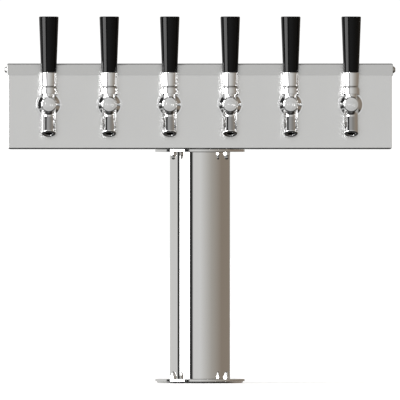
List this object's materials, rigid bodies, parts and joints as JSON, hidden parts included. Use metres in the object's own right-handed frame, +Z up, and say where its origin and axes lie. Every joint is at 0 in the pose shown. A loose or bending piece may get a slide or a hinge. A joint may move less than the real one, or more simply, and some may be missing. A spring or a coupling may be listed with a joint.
{
  "type": "beer tap tower",
  "caption": "Round polished column on a bolted flange, carrying a long satin head box with a row of chrome faucets and black tap handles.",
  "frame": {"origin": "under the middle of the whole tower, on the plane of the counter", "axes": "+Z up, +X along the head box to the viewer's right, the faucets face -Y"},
  "size_m": [0.6596, 0.2138, 0.6166],
  "materials": {
    "polished_steel": "mirror polished",
    "fastener_steel": "polished",
    "satin_steel": "fine satin, grain along the length",
    "chrome": "polished",
    "valve_steel": "machined",
    "black_plastic": "gloss"
  },
  "bodies": {
    "tower": {"base_ring": "polished_steel", "base_flange": "polished_steel", "column_tube": "polished_steel", "top_flange": "polished_steel", "base_nut_1": "fastener_steel", "head_nut_1": "fastener_steel", "base_nut_2": "fastener_steel", "head_nut_2": "fastener_steel", "base_nut_3": "fastener_steel", "head_nut_3": "fastener_steel", "base_nut_4": "fastener_steel", "head_nut_4": "fastener_steel", "head_box": "satin_steel", "lid": "satin_steel", "lid_screw_left": "fastener_steel", "lid_screw_right": "fastener_steel", "shank_1": "chrome", "coupling_nut_1": "chrome", "faucet_body_1": "chrome", "bonnet_1": "chrome", "shank_2": "chrome", "coupling_nut_2": "chrome", "faucet_body_2": "chrome", "bonnet_2": "chrome", "shank_3": "chrome", "coupling_nut_3": "chrome", "faucet_body_3": "chrome", "bonnet_3": "chrome", "shank_4": "chrome", "coupling_nut_4": "chrome", "faucet_body_4": "chrome", "bonnet_4": "chrome", "shank_5": "chrome", "coupling_nut_5": "chrome", "faucet_body_5": "chrome", "bonnet_5": "chrome", "shank_6": "chrome", "coupling_nut_6": "chrome", "faucet_body_6": "chrome", "bonnet_6": "chrome"},
    "tap_lever_1": {"lever_1": "chrome", "handle_1": "black_plastic"},
    "tap_valve_1": {"valve_shaft_1": "valve_steel"},
    "tap_lever_2": {"lever_2": "chrome", "handle_2": "black_plastic"},
    "tap_valve_2": {"valve_shaft_2": "valve_steel"},
    "tap_lever_3": {"lever_3": "chrome", "handle_3": "black_plastic"},
    "tap_valve_3": {"valve_shaft_3": "valve_steel"},
    "tap_lever_4": {"lever_4": "chrome", "handle_4": "black_plastic"},
    "tap_valve_4": {"valve_shaft_4": "valve_steel"},
    "tap_lever_5": {"lever_5": "chrome", "handle_5": "black_plastic"},
    "tap_valve_5": {"valve_shaft_5": "valve_steel"},
    "tap_lever_6": {"lever_6": "chrome", "handle_6": "black_plastic"},
    "tap_valve_6": {"valve_shaft_6": "valve_steel"}
  },
  "joints": [
    {"name": "lever_hinge_1", "type": "hinge", "parent": "tower", "child": "tap_lever_1", "pos_m": [-0.254, -0.08573, 0.492], "axis": [1, 0, 0], "range_deg": [0, 28]},
    {"name": "valve_slide_1", "type": "slide", "parent": "tower", "child": "tap_valve_1", "axis": [0, 1, 0], "range_m": [0, 0.0092]},
    {"name": "lever_hinge_2", "type": "hinge", "parent": "tower", "child": "tap_lever_2", "pos_m": [-0.1524, -0.08573, 0.492], "axis": [1, 0, 0], "range_deg": [0, 28]},
    {"name": "valve_slide_2", "type": "slide", "parent": "tower", "child": "tap_valve_2", "axis": [0, 1, 0], "range_m": [0, 0.0092]},
    {"name": "lever_hinge_3", "type": "hinge", "parent": "tower", "child": "tap_lever_3", "pos_m": [-0.0508, -0.08573, 0.492], "axis": [1, 0, 0], "range_deg": [0, 28]},
    {"name": "valve_slide_3", "type": "slide", "parent": "tower", "child": "tap_valve_3", "axis": [0, 1, 0], "range_m": [0, 0.0092]},
    {"name": "lever_hinge_4", "type": "hinge", "parent": "tower", "child": "tap_lever_4", "pos_m": [0.0508, -0.08573, 0.492], "axis": [1, 0, 0], "range_deg": [0, 28]},
    {"name": "valve_slide_4", "type": "slide", "parent": "tower", "child": "tap_valve_4", "axis": [0, 1, 0], "range_m": [0, 0.0092]},
    {"name": "lever_hinge_5", "type": "hinge", "parent": "tower", "child": "tap_lever_5", "pos_m": [0.1524, -0.08573, 0.492], "axis": [1, 0, 0], "range_deg": [0, 28]},
    {"name": "valve_slide_5", "type": "slide", "parent": "tower", "child": "tap_valve_5", "axis": [0, 1, 0], "range_m": [0, 0.0092]},
    {"name": "lever_hinge_6", "type": "hinge", "parent": "tower", "child": "tap_lever_6", "pos_m": [0.254, -0.08573, 0.492], "axis": [1, 0, 0], "range_deg": [0, 28]},
    {"name": "valve_slide_6", "type": "slide", "parent": "tower", "child": "tap_valve_6", "axis": [0, 1, 0], "range_m": [0, 0.0092]}
  ],
  "couplings": [
    {"joint": "valve_slide_1", "follows": "lever_hinge_1", "m_per_rad": 0.018733},
    {"joint": "valve_slide_2", "follows": "lever_hinge_2", "m_per_rad": 0.018733},
    {"joint": "valve_slide_3", "follows": "lever_hinge_3", "m_per_rad": 0.018733},
    {"joint": "valve_slide_4", "follows": "lever_hinge_4", "m_per_rad": 0.018733},
    {"joint": "valve_slide_5", "follows": "lever_hinge_5", "m_per_rad": 0.018733},
    {"joint": "valve_slide_6", "follows": "lever_hinge_6", "m_per_rad": 0.018733}
  ]
}
